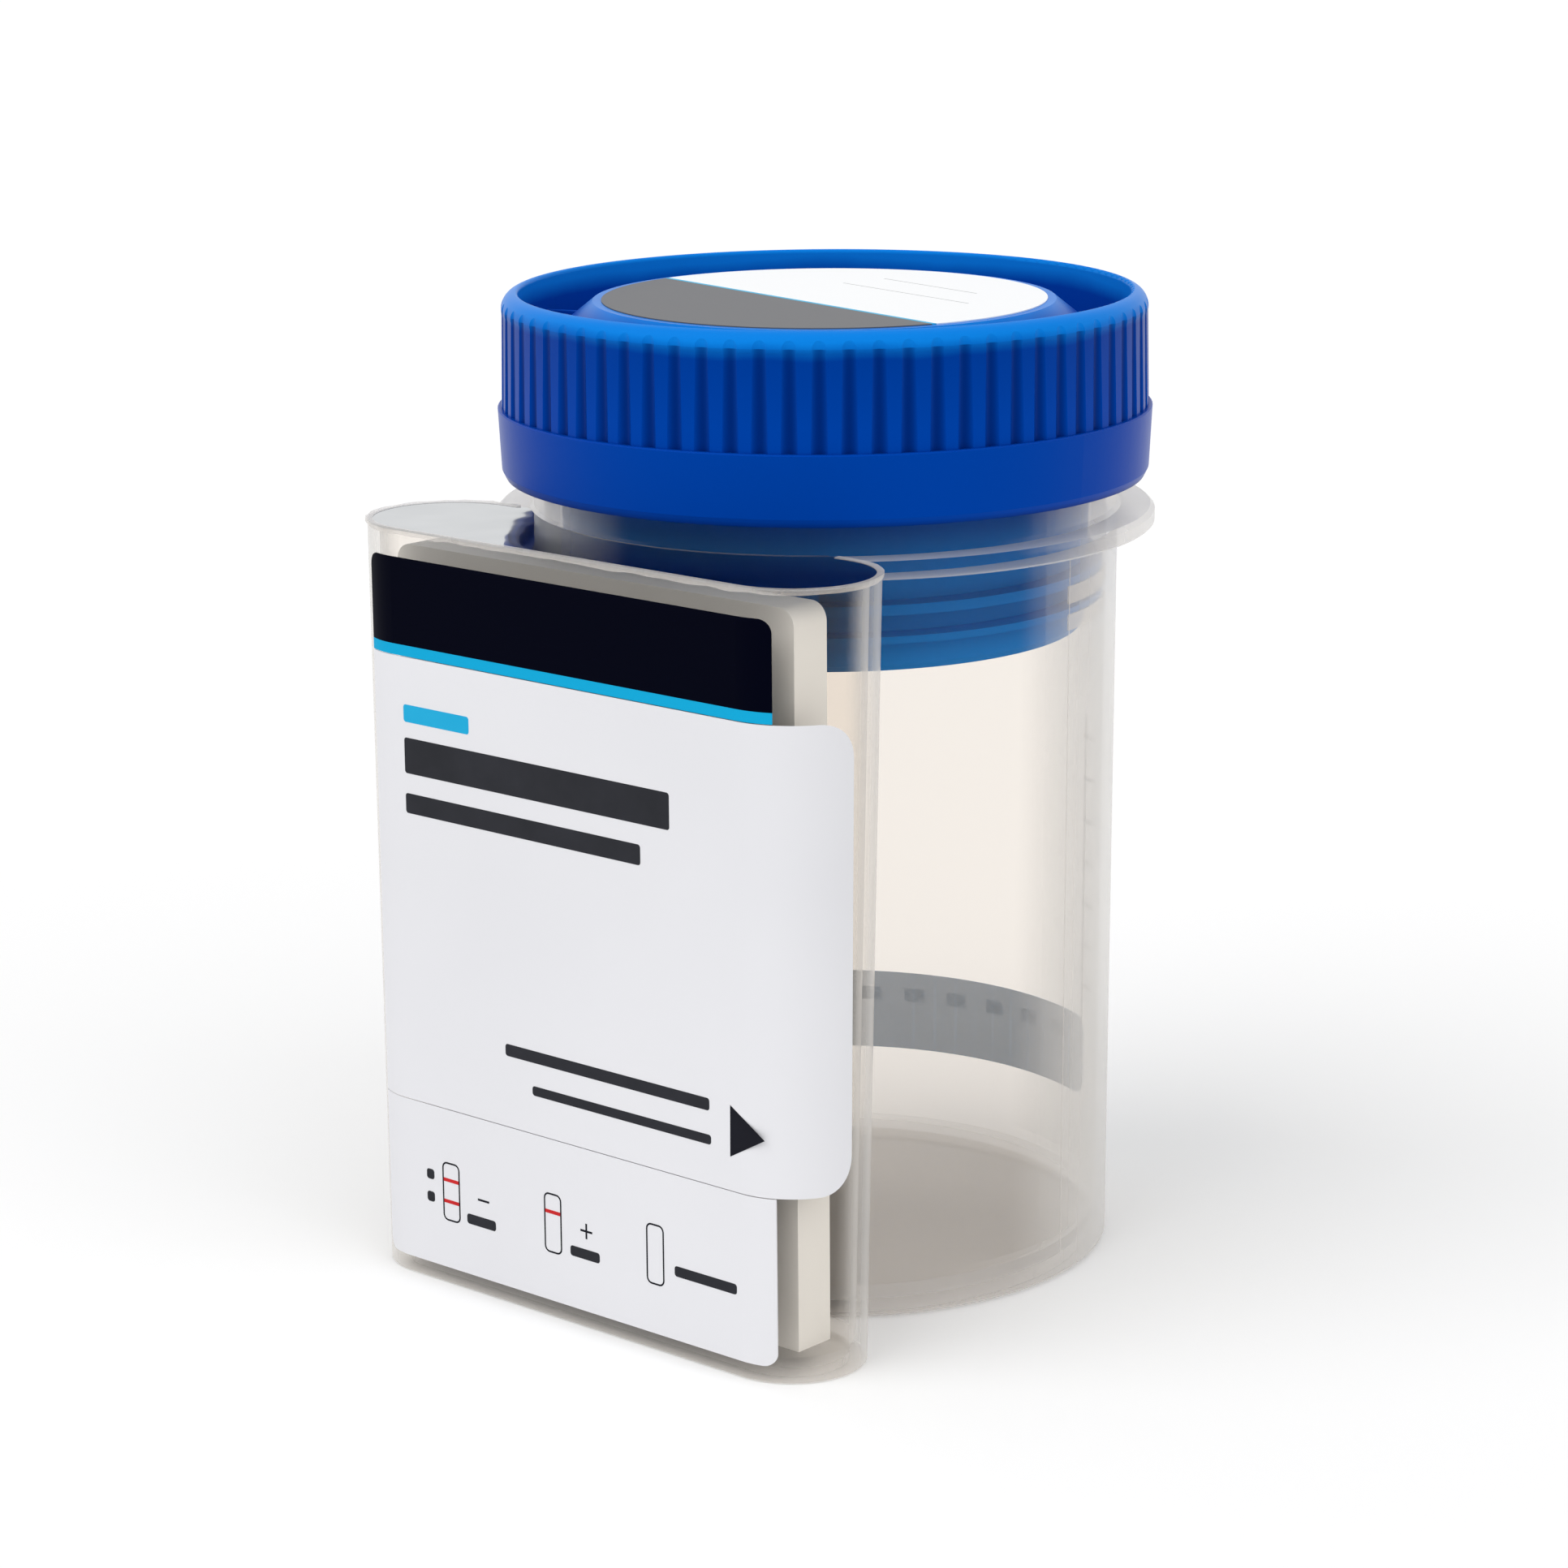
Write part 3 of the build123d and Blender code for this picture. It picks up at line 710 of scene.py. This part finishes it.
# Marks on the round wall: where each starts, as a turn in degrees, and its length or half width along
# the wall in millimetres. A strip is low, high, out from the wall, thickness and number of flat runs.
SCALE_TURN = 63.0
SCALE_HALF_W = 0.15
SCALE_STRIP = (16.4, 58.7, 0.02, 0.15, 1)
MOULD_LINE_TURN = 4.7
MOULD_LINE_HALF_W = 0.06
MOULD_LINE_STRIP = (3.0, 84.6, 0.005, 0.05, 1)
# Finger strips: two milky strips on the inside of the wall, level with the lid plug's beads
FINGER_TURN = 8.0
FINGER_L = 15.0
FINGER_STRIPS = ((78.1, 80.1, 0.01, 0.18, 12), (75.1, 76.9, 0.01, 0.18, 12))
TEMPERATURE_TURN = 62.0
TEMPERATURE_MARKS = 6
TEMPERATURE_FIRST = 5.0
TEMPERATURE_PITCH = 5.6
TEMPERATURE_MARK_L = 2.6
TEMPERATURE_STRIP = (17.6, 19.3, 0.17, 0.03, 2)


def mould_wall_marks():
    lines = bmesh.new()
    wall_strip(lines, on_wall(False, SCALE_TURN), -SCALE_HALF_W, SCALE_HALF_W, *SCALE_STRIP)
    wall_strip(lines, on_wall(False, MOULD_LINE_TURN), -MOULD_LINE_HALF_W, MOULD_LINE_HALF_W, *MOULD_LINE_STRIP)
    finish_piece("wall_lines", lines, mark_finish, "cup")

    fingers = bmesh.new()
    for strip in FINGER_STRIPS:
        wall_strip(fingers, on_wall(True, FINGER_TURN), 0.0, FINGER_L, *strip)
    finish_piece("wall_fingers", fingers, mark_finish, "cup")

    marks = bmesh.new()
    for i in range(TEMPERATURE_MARKS):
        left = TEMPERATURE_FIRST + TEMPERATURE_PITCH * i
        wall_strip(marks, on_wall(False, TEMPERATURE_TURN), left, left + TEMPERATURE_MARK_L, *TEMPERATURE_STRIP)
    finish_piece("temperature_marks", marks, temperature_mark_finish, "cup")


# Floor, backdrop light and lamps
FLOOR_HALF = 3.0
FLOOR_Z = -0.0002
FLOOR_GLOW = 0.08  # lifts the lit floor to white, and leaves the shadow on it
AMBIENT = 0.55
SUNS = (
    ("key", (0.2, 0.7, -0.9), 50.0, 1.1),
    ("side", (-0.85, 0.2, -0.8), 50.0, 0.6),
    ("top", (-0.1, -0.1, -0.9), 60.0, 0.3),
)


def seen_directly(tree):
    """1 for what the camera, a reflection or a clear piece shows, and 0 for light that falls on things."""
    path = add_node(tree, "ShaderNodeLightPath")
    seen = add_node(tree, "ShaderNodeMath", operation="MAXIMUM")
    seen_too = add_node(tree, "ShaderNodeMath", operation="MAXIMUM")
    tree.links.new(path.outputs["Is Camera Ray"], seen.inputs[0])
    tree.links.new(path.outputs["Is Transmission Ray"], seen.inputs[1])
    tree.links.new(seen.outputs["Value"], seen_too.inputs[0])
    tree.links.new(path.outputs["Is Glossy Ray"], seen_too.inputs[1])
    return seen_too.outputs["Value"]


def lay_floor():
    floor_mesh = bpy.data.meshes.new("floor")
    corners = [(x * FLOOR_HALF, y * FLOOR_HALF, FLOOR_Z) for x, y in ((-1, -1), (1, -1), (1, 1), (-1, 1))]
    floor_mesh.from_pydata(corners, [], [(0, 1, 2, 3)])
    material = bpy.data.materials.new("studio_floor")
    material.use_nodes = True
    tree = material.node_tree
    tree.nodes.remove(tree.nodes["Principled BSDF"])
    output = tree.nodes["Material Output"]
    matt = add_node(tree, "ShaderNodeBsdfDiffuse")
    matt.inputs["Color"].default_value = (0.9, 0.9, 0.9, 1.0)
    glow = add_node(tree, "ShaderNodeEmission")
    glow.inputs["Color"].default_value = (1.0, 1.0, 1.0, 1.0)
    level = add_node(tree, "ShaderNodeMath", operation="MULTIPLY")
    level.inputs[1].default_value = FLOOR_GLOW
    both = add_node(tree, "ShaderNodeAddShader")
    tree.links.new(seen_directly(tree), level.inputs[0])
    tree.links.new(level.outputs["Value"], glow.inputs["Strength"])
    tree.links.new(matt.outputs["BSDF"], both.inputs[0])
    tree.links.new(glow.outputs["Emission"], both.inputs[1])
    tree.links.new(both.outputs["Shader"], output.inputs["Surface"])
    floor_mesh.materials.append(material)
    floor = bpy.data.objects.new("floor", floor_mesh)
    bpy.context.scene.collection.objects.link(floor)


def light_world():
    world = bpy.data.worlds.new("studio")
    bpy.context.scene.world = world
    world.use_nodes = True
    tree = world.node_tree
    background = tree.nodes["Background"]
    background.inputs["Color"].default_value = (1.0, 1.0, 1.0, 1.0)
    level = add_node(tree, "ShaderNodeMapRange")
    level.inputs["To Min"].default_value = AMBIENT
    level.inputs["To Max"].default_value = 1.0
    tree.links.new(seen_directly(tree), level.inputs["Value"])
    tree.links.new(level.outputs["Result"], background.inputs["Strength"])


def add_soft_sun(name, towards, spread, strength):
    lamp_data = bpy.data.lights.new(name, "SUN")
    lamp_data.angle = math.radians(spread)
    lamp_data.energy = strength
    lamp = bpy.data.objects.new(name, lamp_data)
    bpy.context.scene.collection.objects.link(lamp)
    lamp.rotation_euler = Vector(towards).to_track_quat("-Z", "Y").to_euler()


place_camera()
dress_solids()
print_front_label()
print_lid_label()
weld_film_rim()
mould_graduation()
mould_wall_marks()
lay_floor()
light_world()
for sun in SUNS:
    add_soft_sun(*sun)

bpy.context.scene.view_settings.view_transform = "Standard"
